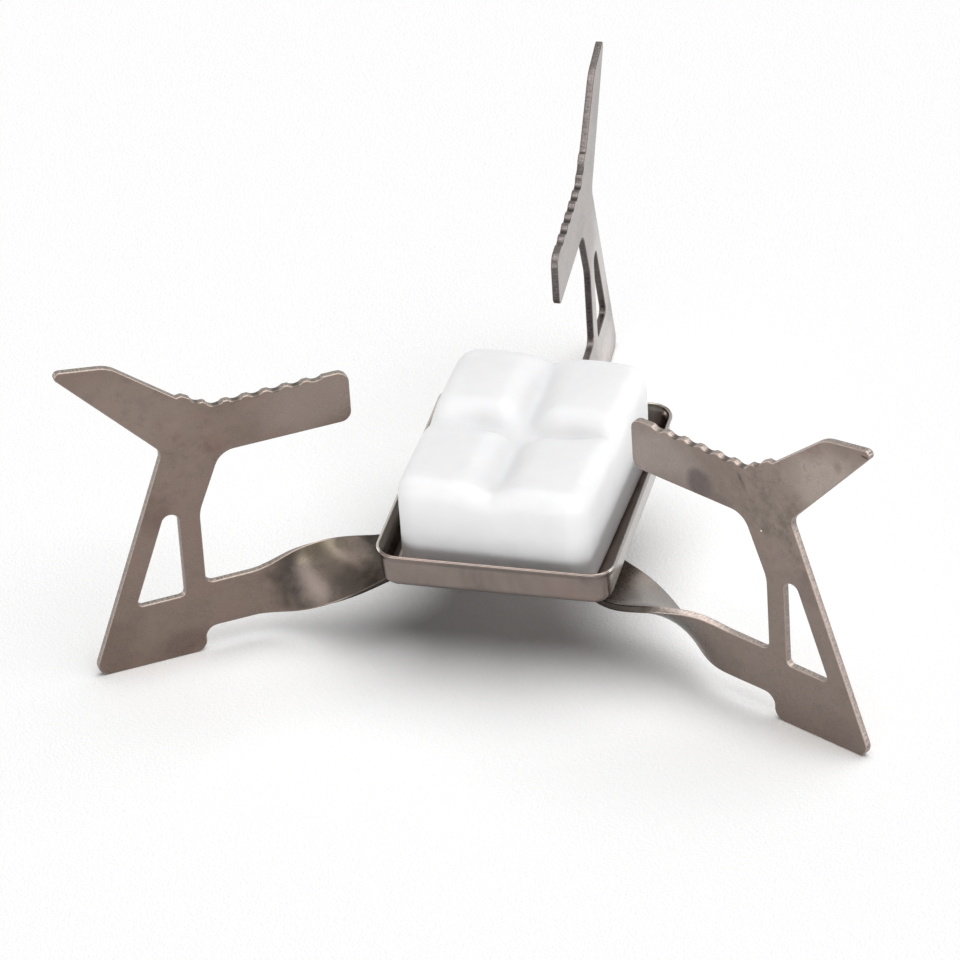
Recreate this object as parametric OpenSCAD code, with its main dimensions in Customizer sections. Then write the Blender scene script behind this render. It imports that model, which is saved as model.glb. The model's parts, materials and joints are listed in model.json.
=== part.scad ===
// Folding solid fuel stove: three sheet legs that swing on one rivet under a pressed tray, and its fuel block.
// The legs stand on Z = 0. X runs across the tray and Y along it. The origin lies on the ground, at the
// middle of the box that the open stove fills.

/* [Leg plate] */
// Thickness of the sheet that the legs are stamped from
plate_t = 1.0; // [0.8:0.1:1.2]
// Height of the edge that a pot stands on
rest_z = 40; // [39:0.2:42]
// Distance from the rivet to the outer corner of the foot
foot_out = 62.5; // [60:0.5:64]
// Distance from the rivet to the inner corner of the foot
foot_in = 45.8; // [45:0.2:46.5]
// Distance from the rivet to the step between the foot and the arm
notch_u = 46.2; // [45.8:0.2:46.8]
// Height of the arm's underside above the ground, at the plate
notch_h = 3.8; // [3.4:0.2:4.4]
// Distance from the rivet to the post's inner edge
post_in = 45.4; // [45:0.1:46]
// Height at which the post's inner edge turns towards the support
kink_z = 23; // [20:0.5:26]
// Depth of the pot support, from its resting edge to its underside
support_h = 8; // [7:0.1:9]
// Distance from the rivet to the corner where the post meets the support's underside
throat_u = 41.8; // [40:0.2:43]
// Distance from the rivet to the inner end of the support
support_in = 22.8; // [22.2:0.1:23.4]
// Distance from the rivet to the foot of the wing's slope
wing_root_u = 47.2; // [47:0.1:48]
// Rise of the wing's slope foot above the resting edge
wing_root_rise = 2.3; // [2:0.1:2.6]
// Distance from the rivet to the wing's knee
knee_u = 56.2; // [55:0.2:57]
// Rise of the wing's knee above the resting edge
knee_rise = 9.7; // [9:0.05:10]
// Distance from the rivet to the sharp corner that the wing's rounded tip replaces
tip_u = 65; // [64:0.1:66]
// Rise of that corner above the resting edge
tip_rise = 11; // [10.9:0.05:11.4]
// Distance from the rivet to the neck below the wing
neck_u = 50; // [49.4:0.2:51]
// Height of the neck below the wing
neck_z = 34.2; // [33:0.2:35]
// Width of metal left on each side of the post's hole
post_band = 3.1; // [2.8:0.1:3.3]
// Height of the lower edge of the post's hole
hole_low_z = 9.9; // [9:0.1:12]

/* [Plate corners] */
// Radius of the foot's outer corner
foot_r = 1.7; // [1:0.1:2.2]
// Radius of the foot's inner corner
heel_r = 1.8; // [1.2:0.1:1.8]
// Radius of the step between the foot and the arm
notch_r = 1.8; // [1:0.1:1.9]
// Radius between the arm and the post
crotch_r = 1.3; // [0.8:0.1:2]
// Radius where the post turns towards the support
kink_r = 6; // [2:0.5:10]
// Radius between the post and the support
throat_r = 3; // [2:0.1:4]
// Radius of the support's lower inner corner
end_low_r = 1.5; // [1:0.1:2]
// Radius of the support's upper inner corner
end_top_r = 1.7; // [1:0.1:2.2]
// Radius of the wing's knee
knee_r = 5; // [2:0.5:8]
// Radius of the wing's tip
tip_r = 0.75; // [0.5:0.05:0.9]
// Radius of the neck below the wing
neck_r = 2; // [1:0.5:3]
// Radius at the foot of the wing's slope
root_r = 0.3; // [0.2:0.05:0.4]
// Radius of the crest at the top of the toothed ramp
crest_r = 0.2; // [0.1:0.05:0.3]
// Radius of the two lower corners of the post's hole
hole_r = 0.8; // [0.6:0.1:1.2]
// Radius of the post's hole at its top
hole_top_r = 1.2; // [0.8:0.1:1.4]

/* [Teeth] */
// Distance between two teeth
tooth_pitch = 2.86; // [2.7:0.02:3]
// Radius of the scallop between two teeth
tooth_r = 1.5; // [1.3:0.05:1.6]
// Depth of the scallops below the resting edge
tooth_depth = 0.4; // [0.3:0.05:0.5]
// Distance from the rivet to the first scallop
tooth_first_u = 27.5; // [27.2:0.1:27.6]
// Number of scallops on the level stretch
tooth_count = 6; // [3:1:6]
// Length of the toothed ramp that leads up to the wing
ramp_run = 4; // [3.6:0.1:4.2]
// Distance along the ramp from its foot to its scallop
ramp_tooth = 2.4; // [2.2:0.1:2.6]
// Length of the small crest between the ramp and the wing's slope
crest_run = 0.8; // [0.6:0.1:1]
// Rise of that crest over its length
crest_rise = 0.1; // [0:0.05:0.2]

/* [Arm] */
// Depth of the arm where it joins the plate
arm_h = 7.3; // [6.8:0.1:7.6]
// Width of the arm beside the rivet
hub_w = 8.8; // [8:0.2:9.6]
// Radius of the round ear at the rivet
ear_r = 5.2; // [4.8:0.1:5.6]
// Distance from the rivet at which the arm starts to twist
twist_from = 17.5; // [16:0.5:19]
// Distance from the rivet at which the arm stands upright
twist_to = 39; // [39:0.2:41]
// Distance from the rivet at which the arm starts to come down
drop_from = 22; // [18:0.5:24]
// Distance from the rivet at which the arm starts to narrow
narrow_from = 32; // [28:0.5:33]
// Distance from the rivet at which the arm has its plate's depth
narrow_to = 39; // [36:0.5:39]
// Distance by which the left plate stands to the right of the rivet's axis, seen from the rivet
left_offset = 5.2; // [4.5:0.1:5.8]
// Distance by which the right plate stands to the right of the rivet's axis, seen from the rivet
right_offset = 3.1; // [2:0.1:3.4]
// Distance by which the rear plate stands to the right of the rivet's axis, seen from the rivet
rear_offset = 1; // [0:0.1:1.4]
// Distance from the rivet at which the left arm starts to move sideways
left_shift_from = 22; // [14:0.5:26]
// Distance from the rivet at which the left arm reaches its plate's line
left_shift_to = 39; // [34:0.5:39]
// Distance from the rivet at which the right and rear arms start to move sideways
right_shift_from = 1; // [1:0.5:8]
// Distance from the rivet at which the right and rear arms reach their plates' lines
right_shift_to = 25; // [20:0.5:36]

/* [Stance] */
// Direction of the rear leg, counted from the X axis
rear_angle = 93; // [90:0.5:95]
// Angle between neighbouring legs when the stove stands open
leg_spacing = 120; // [118:0.5:122]

/* [Rivet] */
// Radius of the rivet's shank
rivet_r = 1.5; // [1.2:0.1:1.8]
// Radius of the rivet's domed head
head_r = 3; // [2.6:0.1:3.4]
// Height of the rivet's domed head
head_h = 1.1; // [0.8:0.1:1.4]
// Radius of the rivet's tail, spread flat inside the tray
tail_r = 2.5; // [2.2:0.1:2.8]
// Thickness of the rivet's tail
tail_t = 0.55; // [0.4:0.05:0.6]
// Radius of the washer under the legs
lower_washer_r = 3.9; // [3.6:0.1:4.4]
// Thickness of the washer under the legs
lower_washer_t = 0.4; // [0.3:0.05:0.6]
// Radius of the washer inside the tray
tray_washer_r = 3.3; // [3:0.1:3.6]
// Thickness of the washer inside the tray
tray_washer_t = 0.3; // [0.2:0.05:0.35]
// Running clearance around the rivet and between the ears
run_gap = 0.05; // [0.03:0.01:0.08]
// Height of the lowest ear's underside above the ground
ear_low_z = 9; // [8.9:0.1:9.8]

/* [Tray] */
// Width of the tray over its lip
tray_w = 33.6; // [33:0.2:35]
// Length of the tray over its lip
tray_l = 42.2; // [41.8:0.2:45]
// Depth of the tray from its lip to the underside of its floor
tray_h = 5.6; // [5:0.1:6.5]
// Thickness of the tray's sheet
tray_t = 0.5; // [0.4:0.05:0.6]
// Radius of the tray's upright corners at the lip
tray_corner_r = 3.4; // [3.2:0.1:4.5]
// Outer radius between the tray's floor and its walls
tray_edge_r = 1.5; // [1:0.1:1.8]
// Distance by which the wall leans out over its height
tray_lean = 0.4; // [0.2:0.05:0.6]
// Distance by which the lip stands out from the wall
lip_out = 0.35; // [0.2:0.05:0.5]
// Height of the flared lip
lip_h = 0.8; // [0.5:0.1:1.2]
// Depth of the dish pressed down around the rivet
dish_h = 0.95; // [0.9:0.05:1.1]
// Radius of the dish's flat bottom, underneath
dish_r = 5.6; // [5.2:0.1:6]
// Distance over which the dish's wall slopes
dish_slope = 1.2; // [0.8:0.1:2]

/* [Fuel block] */
// Width of the fuel block
block_w = 27.2; // [26:0.2:28.4]
// Length of the fuel block
block_l = 36; // [34:0.5:37.5]
// Height of the fuel block at the top of its lobes
block_h = 15; // [13:0.5:16]
// Radius of the block's upright corners
block_corner_r = 3.2; // [2:0.2:4]
// Radius that rounds the block's top edges
block_edge_r = 2.6; // [1.5:0.1:3]
// Radius that rounds the block's bottom edges
block_foot_r = 0.5; // [0.3:0.1:0.8]
// Depth of the cross groove between the four lobes
groove_h = 2.6; // [1:0.1:3]
// Half width of the cross groove
groove_w = 3.4; // [2.5:0.1:4]
// Height of each lobe's crown over its rim
crown_h = 0.7; // [0.2:0.1:1]
// Angle by which the block sits turned in the tray
block_turn = -2; // [-2:0.5:2]
// Distance by which the block sits to the left of the tray's middle
block_shift = 0; // [0:0.1:0.3]
// Gap between the block and the tray's floor
seat_gap = 0.05; // [0.03:0.01:0.1]

/* [Hidden] */
$fn = 64;

titanium = [0.52, 0.48, 0.45];
steel = [0.62, 0.6, 0.58];
fuel_white = [0.95, 0.95, 0.96];

// Steps in a rounded corner, sections along an arm, and steps in each half lobe of the block
round_steps = 6;
arm_steps = 32;
lobe_steps = 7;
// How much thinner the arm is than the ear and the plate that it runs into, so that no faces coincide
weld_skin = 0.01;
// How far the arm runs into the plate
weld_run = 0.5;
// How far a cut runs past the faces that it goes through
cut_over = 1;

// The rivet's stack, from the ground up
function ear_z(level) = ear_low_z + level*(plate_t + run_gap);
dish_z = ear_z(3);
tray_z = dish_z + dish_h;
washer_top_z = ear_low_z - run_gap;
head_top_z = washer_top_z - lower_washer_t;
dish_floor_z = dish_z + tray_t;
tail_z = dish_floor_z + tray_washer_t;
block_z = tray_z + tray_t + seat_gap;

left_angle = rear_angle + leg_spacing;
right_angle = rear_angle - leg_spacing;
arm_top = notch_h + arm_h;
support_low = rest_z - support_h;
arm_mid_z = notch_h + arm_h/2;

function dot2(a, b) = a[0]*b[0] + a[1]*b[1];
function unit(v) = v/norm(v);
function turn_between(a, b) = (b - a + 540)%360 - 180;
function ease(x) = let (k = min(max(x, 0), 1)) k*k*(3 - 2*k);
function ease_over(u, from, to) = ease((u - from)/(to - from));
function flatten(lists) = [for (l = lists) each l];

// The arc of radius r that rounds corner b of the line a, b, c
function arc_centre(a, b, c, r) =
    let (p = unit(a - b), q = unit(c - b), half = acos(dot2(p, q))/2)
    b + unit(p + q)*r/sin(half);
function corner_arc(a, b, c, r) =
    let (
        p = unit(a - b), q = unit(c - b), half = acos(dot2(p, q))/2,
        reach = r/tan(half), o = arc_centre(a, b, c, r),
        s = b + p*reach - o, e = b + q*reach - o,
        from = atan2(s[1], s[0]), sweep = turn_between(from, atan2(e[1], e[0]))
    )
    [for (i = [0:round_steps]) let (t = from + sweep*i/round_steps) o + r*[cos(t), sin(t)]];

// An outline from its corners, each given as [x, y, radius], with radius 0 for a sharp one
function rounded(corners) =
    let (n = len(corners), p = [for (k = corners) [k[0], k[1]]])
    flatten([
        for (i = [0:n - 1])
            corners[i][2] == 0 ? [p[i]]
                : corner_arc(p[(i + n - 1)%n], p[i], p[(i + 1)%n], corners[i][2])
    ]);

// The plate's outline in leg coordinates: distance from the rivet, and height
ramp_top = [wing_root_u - crest_run, rest_z + wing_root_rise + crest_rise];
ramp_foot = [ramp_top[0] - ramp_run, rest_z];
plate_corners = [
    [foot_out, 0, foot_r],
    [neck_u, neck_z, neck_r],
    [tip_u, rest_z + tip_rise, tip_r],
    [knee_u, rest_z + knee_rise, knee_r],
    [wing_root_u, rest_z + wing_root_rise, root_r],
    [ramp_top[0], ramp_top[1], crest_r],
    [ramp_foot[0], ramp_foot[1], 0],
    [support_in, rest_z, end_top_r],
    [support_in, support_low, end_low_r],
    [throat_u, support_low, throat_r],
    [post_in, kink_z, kink_r],
    [post_in, arm_top, crotch_r],
    [twist_to, arm_top, 0],
    [twist_to, notch_h, 0],
    [notch_u, notch_h, notch_r],
    [foot_in, 0, heel_r]
];
plate_outline = rounded(plate_corners);

// The post's hole keeps the same band of metal to the post's inner and outer edges
outer_run = unit([neck_u, neck_z] - [foot_out, 0]);
hole_in = post_in + post_band;
function outer_edge_u(z) = foot_out + z*outer_run[0]/outer_run[1];
function hole_out(z) = outer_edge_u(z) - post_band/outer_run[1];
hole_apex_z = (hole_in + post_band/outer_run[1] - foot_out)*outer_run[1]/outer_run[0];
hole_outline = rounded([
    [hole_in, hole_low_z, hole_r],
    [hole_out(hole_low_z), hole_low_z, hole_r],
    [hole_in, hole_apex_z, hole_top_r]
]);

// Where the stove's box lies, from the tips of the three legs
reach = max([for (p = plate_outline) p[0]]);
leg_stance = [
    [left_angle, -left_offset], [right_angle, -right_offset], [rear_angle, -rear_offset]
];
leg_tips = [
    for (s = leg_stance, side = [-plate_t/2, plate_t/2])
        reach*[cos(s[0]), sin(s[0])] + (s[1] + side)*[-sin(s[0]), cos(s[0])]
];
tip_x = [for (p = leg_tips) p[0]];
tip_y = [for (p = leg_tips) p[1]];
hub = -[min(tip_x) + max(tip_x), min(tip_y) + max(tip_y)]/2;

module at_hub(z = 0) {
    translate([hub[0], hub[1], z]) children();
}

// Leg
module scallop(centre) {
    translate(centre) circle(r = tooth_r);
}

module plate_shape() {
    ramp = unit(ramp_top - ramp_foot);
    lift = tooth_r - tooth_depth;
    difference() {
        polygon(plate_outline);
        polygon(hole_outline);
        for (i = [0:tooth_count - 1])
            scallop([tooth_first_u + i*tooth_pitch, rest_z + lift]);
        scallop(ramp_foot + ramp*ramp_tooth + lift*[-ramp[1], ramp[0]]);
    }
}

module plate(offset) {
    translate([0, -offset, 0])
        rotate([90, 0, 0]) linear_extrude(height = plate_t, center = true) plate_shape();
}

// The arm is a strip that starts inside the ear, and its sections turn from flat to upright at the plate
module arm(level_z, offset, shift) {
    from = (ear_r + rivet_r)/2;
    to = twist_to + weld_run;
    half_t = plate_t/2 - weld_skin;
    rings = [
        for (i = [0:arm_steps])
            let (
                u = from + (to - from)*i/arm_steps,
                turn = 90*ease_over(u, twist_from, twist_to),
                w = hub_w + (arm_h - hub_w)*ease_over(u, narrow_from, narrow_to) - 2*weld_skin,
                z = level_z + (arm_mid_z - level_z)*ease_over(u, drop_from, twist_to),
                mid = [u, -offset*ease_over(u, shift[0], shift[1]), z],
                edge = [0, -cos(turn), sin(turn)]*w/2,
                face = [0, sin(turn), cos(turn)]*half_t
            )
            [mid + edge + face, mid + edge - face, mid - edge - face, mid - edge + face]
    ];
    sides = flatten([
        for (i = [0:arm_steps - 1], k = [0:3])
            let (a = 4*i + k, b = 4*i + (k + 1)%4)
            [[a, b + 4, b], [a, a + 4, b + 4]]
    ]);
    last = 4*arm_steps;
    ends = [[0, 1, 2, 3], [last + 3, last + 2, last + 1, last]];
    polyhedron(points = flatten(rings), faces = concat(sides, ends), convexity = 4);
}

module leg(angle, level, offset, shift) {
    z = ear_z(level);
    color(titanium) at_hub() rotate([0, 0, angle]) difference() {
        union() {
            plate(offset);
            arm(z + plate_t/2, offset, shift);
            translate([0, 0, z]) cylinder(r = ear_r, h = plate_t);
        }
        translate([0, 0, z - cut_over]) cylinder(r = rivet_r + run_gap, h = plate_t + 2*cut_over);
    }
}

module right_leg() {
    leg(right_angle, 0, right_offset, [right_shift_from, right_shift_to]);
}

module rear_leg() {
    leg(rear_angle, 1, rear_offset, [right_shift_from, right_shift_to]);
}

module left_leg() {
    leg(left_angle, 2, left_offset, [left_shift_from, left_shift_to]);
}

// Rivet and washers
module pivot_rivet() {
    dome_r = (head_r*head_r + head_h*head_h)/(2*head_h);
    shank_h = tail_z + tail_t - head_top_z;
    color(steel) at_hub(head_top_z) {
        intersection() {
            translate([0, 0, dome_r - head_h]) sphere(r = dome_r);
            translate([0, 0, -head_h]) cylinder(r = head_r, h = head_h);
        }
        cylinder(r = rivet_r, h = shank_h);
        translate([0, 0, shank_h - tail_t]) cylinder(r = tail_r, h = tail_t);
    }
}

module washer(r, t) {
    difference() {
        cylinder(r = r, h = t);
        translate([0, 0, -cut_over]) cylinder(r = rivet_r + run_gap, h = t + 2*cut_over);
    }
}

module lower_washer() {
    color(steel) at_hub(head_top_z) washer(lower_washer_r, lower_washer_t);
}

module tray_washer() {
    color(steel) at_hub(dish_floor_z) washer(tray_washer_r, tray_washer_t);
}

// Tray: the section of its wall, measured out from the middle of a corner's arc
function edge_arc(r, centre, from, to) = [
    for (i = [0:round_steps])
        let (t = from + (to - from)*i/round_steps) centre + r*[cos(t), sin(t)]
];
wall_out = tray_corner_r - lip_out;
wall_low = wall_out - tray_lean;
wall_section = concat(
    [[0, 0]],
    edge_arc(tray_edge_r, [wall_low - tray_edge_r, tray_edge_r], -90, 0),
    [
        [wall_out, tray_h - lip_h],
        [tray_corner_r, tray_h - tray_t/2],
        [tray_corner_r, tray_h],
        [tray_corner_r - tray_t, tray_h],
        [wall_out - tray_t, tray_h - lip_h]
    ],
    edge_arc(tray_edge_r - tray_t, [wall_low - tray_edge_r, tray_edge_r], 0, -90),
    [[0, tray_t]]
);

module tray_wall(run, out) {
    rotate([90, 0, 90]) translate([out, 0, -run/2]) linear_extrude(height = run) polygon(wall_section);
}

module tray_shell() {
    side_x = tray_w/2 - tray_corner_r;
    side_y = tray_l/2 - tray_corner_r;
    difference() {
        translate([-side_x, -side_y, 0]) cube([2*side_x, 2*side_y, tray_t]);
        translate([0, 0, -cut_over]) cylinder(r = dish_r + dish_slope, h = tray_t + 2*cut_over);
    }
    for (a = [0, 180]) {
        rotate(a) tray_wall(2*side_x, side_y);
        rotate(a + 90) tray_wall(2*side_y, side_x);
    }
    for (c = [[1, 1, 0], [-1, 1, 90], [-1, -1, 180], [1, -1, 270]])
        translate([c[0]*side_x, c[1]*side_y, 0]) rotate(c[2])
            rotate_extrude(angle = 90) polygon(wall_section);
}

module tray_dish() {
    hole = rivet_r + run_gap;
    rim = dish_r + dish_slope;
    rotate_extrude() polygon([
        [hole, -dish_h], [dish_r, -dish_h], [rim, 0], [rim, tray_t],
        [dish_r, tray_t - dish_h], [hole, tray_t - dish_h]
    ]);
}

module tray() {
    color(titanium) at_hub(tray_z) {
        tray_shell();
        tray_dish();
    }
}

// Fuel block: a grid over a rounded rectangle, lifted to the height of its four lobes
function spread(size) = [
    for (i = [-2*lobe_steps:2*lobe_steps])
        let (k = abs(i)/(2*lobe_steps)) sign(i)*size/2*(1 - cos(180*k))/2
];
function to_round(p, w, l, r) =
    let (
        dx = abs(p[0]) - (w/2 - r), dy = abs(p[1]) - (l/2 - r),
        k = (dx > 0 && dy > 0) ? max(dx, dy)/norm([dx, dy]) : 1
    )
    k == 1 ? p : [sign(p[0])*(w/2 - r + dx*k), sign(p[1])*(l/2 - r + dy*k)];
function groove(d) = groove_h*(1 - ease(abs(d)/groove_w));
function crown(d, size) = crown_h*pow(abs(abs(d) - size/4)/(size/4), 2);
function side_gap(p, w, l, r) =
    let (dx = max(abs(p[0]) - (w/2 - r), 0), dy = max(abs(p[1]) - (l/2 - r), 0))
    (dx > 0 && dy > 0) ? r - norm([dx, dy]) : min(w/2 - abs(p[0]), l/2 - abs(p[1]));
function edge_drop(gap) =
    gap >= block_edge_r ? 0
        : block_edge_r - sqrt(max(pow(block_edge_r, 2) - pow(block_edge_r - max(gap, 0), 2), 0));
function block_top(p) =
    block_h - max(groove(p[0]), groove(p[1])) - crown(p[0], block_w)/2 - crown(p[1], block_l)/2
    - edge_drop(side_gap(p, block_w, block_l, block_corner_r));

module fuel_block() {
    xs = spread(block_w);
    ys = spread(block_l);
    nx = len(xs);
    ny = len(ys);
    grid = [for (y = ys, x = xs) to_round([x, y], block_w, block_l, block_corner_r)];
    top = [for (p = grid) [p[0], p[1], block_top(p)]];
    rim = concat(
        [for (i = [0:nx - 2]) i],
        [for (j = [0:ny - 2]) j*nx + nx - 1],
        [for (i = [nx - 1:-1:1]) (ny - 1)*nx + i],
        [for (j = [ny - 1:-1:1]) j*nx]
    );
    n = len(rim);
    base = nx*ny;
    shrink = [(block_w - 2*block_foot_r)/block_w, (block_l - 2*block_foot_r)/block_l];
    waist = [for (k = rim) [grid[k][0], grid[k][1], block_foot_r]];
    foot = [for (k = rim) [grid[k][0]*shrink[0], grid[k][1]*shrink[1], 0]];
    lids = flatten([
        for (j = [0:ny - 2], i = [0:nx - 2])
            let (a = j*nx + i, b = a + 1, c = b + nx, d = a + nx)
            [[a, c, b], [a, d, c]]
    ]);
    skirt = flatten([
        for (k = [0:n - 1])
            let (
                k2 = (k + 1)%n, a = rim[k], b = rim[k2],
                c = base + k, d = base + k2, e = c + n, f = d + n
            )
            [[a, b, d], [a, d, c], [c, d, f], [c, f, e]]
    ]);
    color(fuel_white) at_hub(block_z) translate([-block_shift, 0, 0]) rotate(block_turn)
        polyhedron(
            points = concat(top, waist, foot),
            faces = concat(lids, skirt, [[for (k = [0:n - 1]) base + n + k]]),
            convexity = 4
        );
}

tray();
pivot_rivet();
tray_washer();
lower_washer();
left_leg();
right_leg();
rear_leg();
fuel_block();
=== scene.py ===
import json
import math

import bpy
import numpy as np
from mathutils import Matrix, Vector, noise
from mathutils.geometry import delaunay_2d_cdt

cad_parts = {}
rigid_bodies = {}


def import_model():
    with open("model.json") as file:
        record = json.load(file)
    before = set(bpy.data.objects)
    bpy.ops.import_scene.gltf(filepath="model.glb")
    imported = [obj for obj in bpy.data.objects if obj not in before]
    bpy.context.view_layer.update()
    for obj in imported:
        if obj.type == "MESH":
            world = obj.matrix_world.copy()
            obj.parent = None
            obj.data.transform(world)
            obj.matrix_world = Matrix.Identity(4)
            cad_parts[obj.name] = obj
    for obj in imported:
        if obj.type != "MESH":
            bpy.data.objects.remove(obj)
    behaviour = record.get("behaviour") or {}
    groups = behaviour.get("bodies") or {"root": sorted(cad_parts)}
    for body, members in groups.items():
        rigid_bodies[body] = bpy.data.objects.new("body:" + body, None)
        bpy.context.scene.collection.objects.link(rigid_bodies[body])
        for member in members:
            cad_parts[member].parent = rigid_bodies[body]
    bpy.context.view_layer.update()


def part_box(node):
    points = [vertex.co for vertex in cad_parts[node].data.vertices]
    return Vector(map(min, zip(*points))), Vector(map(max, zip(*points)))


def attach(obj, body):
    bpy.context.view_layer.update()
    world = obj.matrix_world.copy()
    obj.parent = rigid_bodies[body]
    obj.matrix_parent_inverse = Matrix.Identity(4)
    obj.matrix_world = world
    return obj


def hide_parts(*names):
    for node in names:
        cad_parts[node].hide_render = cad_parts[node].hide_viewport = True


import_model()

# Shapes are worked out in mm, and make_object turns them into metres
MM = 0.001

# Steps round a turned piece
TURNS = 64

# The rivet's axis, and the directions of the legs round it, in degrees from the X axis
rivet_low, rivet_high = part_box("pivot_rivet")
HUB = np.array([(rivet_low[0] + rivet_high[0])/2, (rivet_low[1] + rivet_high[1])/2])/MM
REAR_ANGLE = 93.0
LEG_SPACING = 120.0

# Heights in the stack on the rivet, as the solids have them
PLATE_T = 1.0
EAR_LOW_Z = 9.0
RUN_GAP = 0.05
DISH_H = 0.95
TRAY_T = 0.5
TRAY_Z = EAR_LOW_Z + 3*(PLATE_T + RUN_GAP) + DISH_H
HOLE_R = 1.55

# Height of the pot's rest, and the first tooth's place and the teeth's pitch along it
REST_Z = 40.0
TOOTH_FIRST_U, TOOTH_PITCH = 27.5, 2.86

# A stamping's cut edges: their radius and the steps round it, the flat rim inside them, and the part of
# the height between them that the middle band takes
CUT_R, CUT_STEPS, CUT_RIM, CUT_BAND = 0.16, 4, 0.05, 0.4

# A stamping's faces: the step of the points on them, and the rows' distance and the points' least
# distance from the outlines as shares of that step
FACE_STEP, FACE_ROW, FACE_CLEAR = 1.1, 0.866, 0.55

# Longest step along an arc, in mm and in radians
ARC_STEP, ARC_TURN = 0.25, 0.22

# The sharpest corner that inset follows in full, and how small a triangle fill leaves out: its area
# doubled, as a share of its longest side squared
MITRE, SLIVER = 0.6, 1e-4


# Outlines
def unit(v):
    v = np.asarray(v, float)
    return v/np.linalg.norm(v)


def ease(x):
    k = np.clip(x, 0.0, 1.0)
    return k*k*(3 - 2*k)


def ease_over(u, low, high):
    return ease((u - low)/(high - low))


def short_turn(start, end):
    """The turn from one direction to another, the short way round, in radians."""
    return (end - start + 3*math.pi) % (2*math.pi) - math.pi


def arc(centre, r, start, sweep, n):
    """The n + 1 points of an arc."""
    return [centre + r*np.array([math.cos(start + sweep*i/n), math.sin(start + sweep*i/n)])
            for i in range(n + 1)]


def fillet(a, b, c, r):
    """The arc of radius r that rounds corner b of the line a, b, c."""
    a, b, c = (np.asarray(p, float) for p in (a, b, c))
    p, q = unit(a - b), unit(c - b)
    half = math.acos(float(np.clip(p @ q, -1, 1)))/2
    reach = r/math.tan(half)
    centre = b + unit(p + q)*r/math.sin(half)
    s, e = b + p*reach - centre, b + q*reach - centre
    start = math.atan2(s[1], s[0])
    sweep = short_turn(start, math.atan2(e[1], e[0]))
    n = max(4, math.ceil(abs(sweep)*r/ARC_STEP), math.ceil(abs(sweep)/ARC_TURN))
    return arc(centre, r, start, sweep, n)


def rounded(corners, closed=True):
    """An outline from corners given as (x, y, radius)."""
    out = []
    n = len(corners)
    for i, (x, y, r) in enumerate(corners):
        ends = not closed and i in (0, n - 1)
        if r == 0 or ends:
            out.append(np.array([x, y], float))
        else:
            out += fillet(corners[i - 1][:2], (x, y), corners[(i + 1) % n][:2], r)
    return out


def subdivided(points, step):
    """The same closed line with no stretch longer than step."""
    out = []
    for a, b in zip(points, points[1:] + points[:1]):
        k = max(1, math.ceil(np.linalg.norm(b - a)/step))
        out += [a + (b - a)*j/k for j in range(k)]
    return out


def cleaned(points, least=0.02):
    """The line without points nearer than least to the one before them."""
    out = []
    for p in points:
        if not out or np.linalg.norm(p - out[-1]) > least:
            out.append(p)
    if np.linalg.norm(out[0] - out[-1]) <= least:
        out.pop()
    return out


def inset(points, d):
    """The closed line moved by d to its left, which is inwards for one that runs counterclockwise."""
    p = np.array(points)
    before, after = p - np.roll(p, 1, axis=0), np.roll(p, -1, axis=0) - p
    na = np.stack([-before[:, 1], before[:, 0]], 1)/np.linalg.norm(before, axis=1)[:, None]
    nb = np.stack([-after[:, 1], after[:, 0]], 1)/np.linalg.norm(after, axis=1)[:, None]
    m = na + nb
    m /= np.linalg.norm(m, axis=1)[:, None]
    return p + d*m/np.maximum((m*na).sum(1), MITRE)[:, None]


def inside(points, loop):
    """Which of the points lie in the closed line."""
    x, y = points[:, 0], points[:, 1]
    loop = np.asarray(loop)
    hit = np.zeros(len(points), bool)
    for (x0, y0), (x1, y1) in zip(loop, np.roll(loop, -1, axis=0)):
        if y0 == y1:
            continue
        crosses = (y0 > y) != (y1 > y)
        hit ^= crosses & (x < (x1 - x0)*(y - y0)/(y1 - y0) + x0)
    return hit


def in_sheet(points, loops):
    """Which of the points lie in the first closed line and in none of the others."""
    keep = inside(points, loops[0])
    for loop in loops[1:]:
        keep &= ~inside(points, loop)
    return keep


def fill(loops, extra=()):
    """Triangles over the first closed line less the others, with extra points in between.
    Returns the points, those of the lines first and in their order, and the triangles."""
    points = [Vector(p) for loop in loops for p in loop]
    edges, base = [], 0
    for loop in loops:
        edges += [(base + i, base + (i + 1) % len(loop)) for i in range(len(loop))]
        base += len(loop)
    points += [Vector(p) for p in extra]
    verts, _, faces, origin, _, _ = delaunay_2d_cdt(points, edges, [], 0, 1e-7)
    where = {new: old for new, olds in enumerate(origin) for old in olds}
    if len(where) != len(verts):
        lost = [tuple(round(c, 3) for c in verts[i]) for i in range(len(verts)) if i not in where]
        raise ValueError(f"the outline crosses itself near {lost[:6]}")
    v = np.array([tuple(p) for p in verts])
    tri = np.array(faces)
    sides = v[np.roll(tri, -1, axis=1)] - v[tri]
    double_area = sides[:, 0, 0]*sides[:, 1, 1] - sides[:, 0, 1]*sides[:, 1, 0]
    # A triangle with hardly any area lies along a straight stretch of the outline, outside it
    solid = double_area > SLIVER*(sides**2).sum(axis=2).max(axis=1)
    tri = np.vectorize(where.get)(tri[solid & in_sheet(v[tri].mean(axis=1), loops)])
    return np.array([tuple(p) for p in points]), tri


def near_line(points, loops, least):
    """Which points lie nearer than least to a point of any of the closed lines."""
    close = np.zeros(len(points), bool)
    for loop in loops:
        line = np.asarray(loop)
        close |= np.linalg.norm(points[:, None, :] - line[None, :, :], axis=2).min(axis=1) < least
    return close


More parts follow.
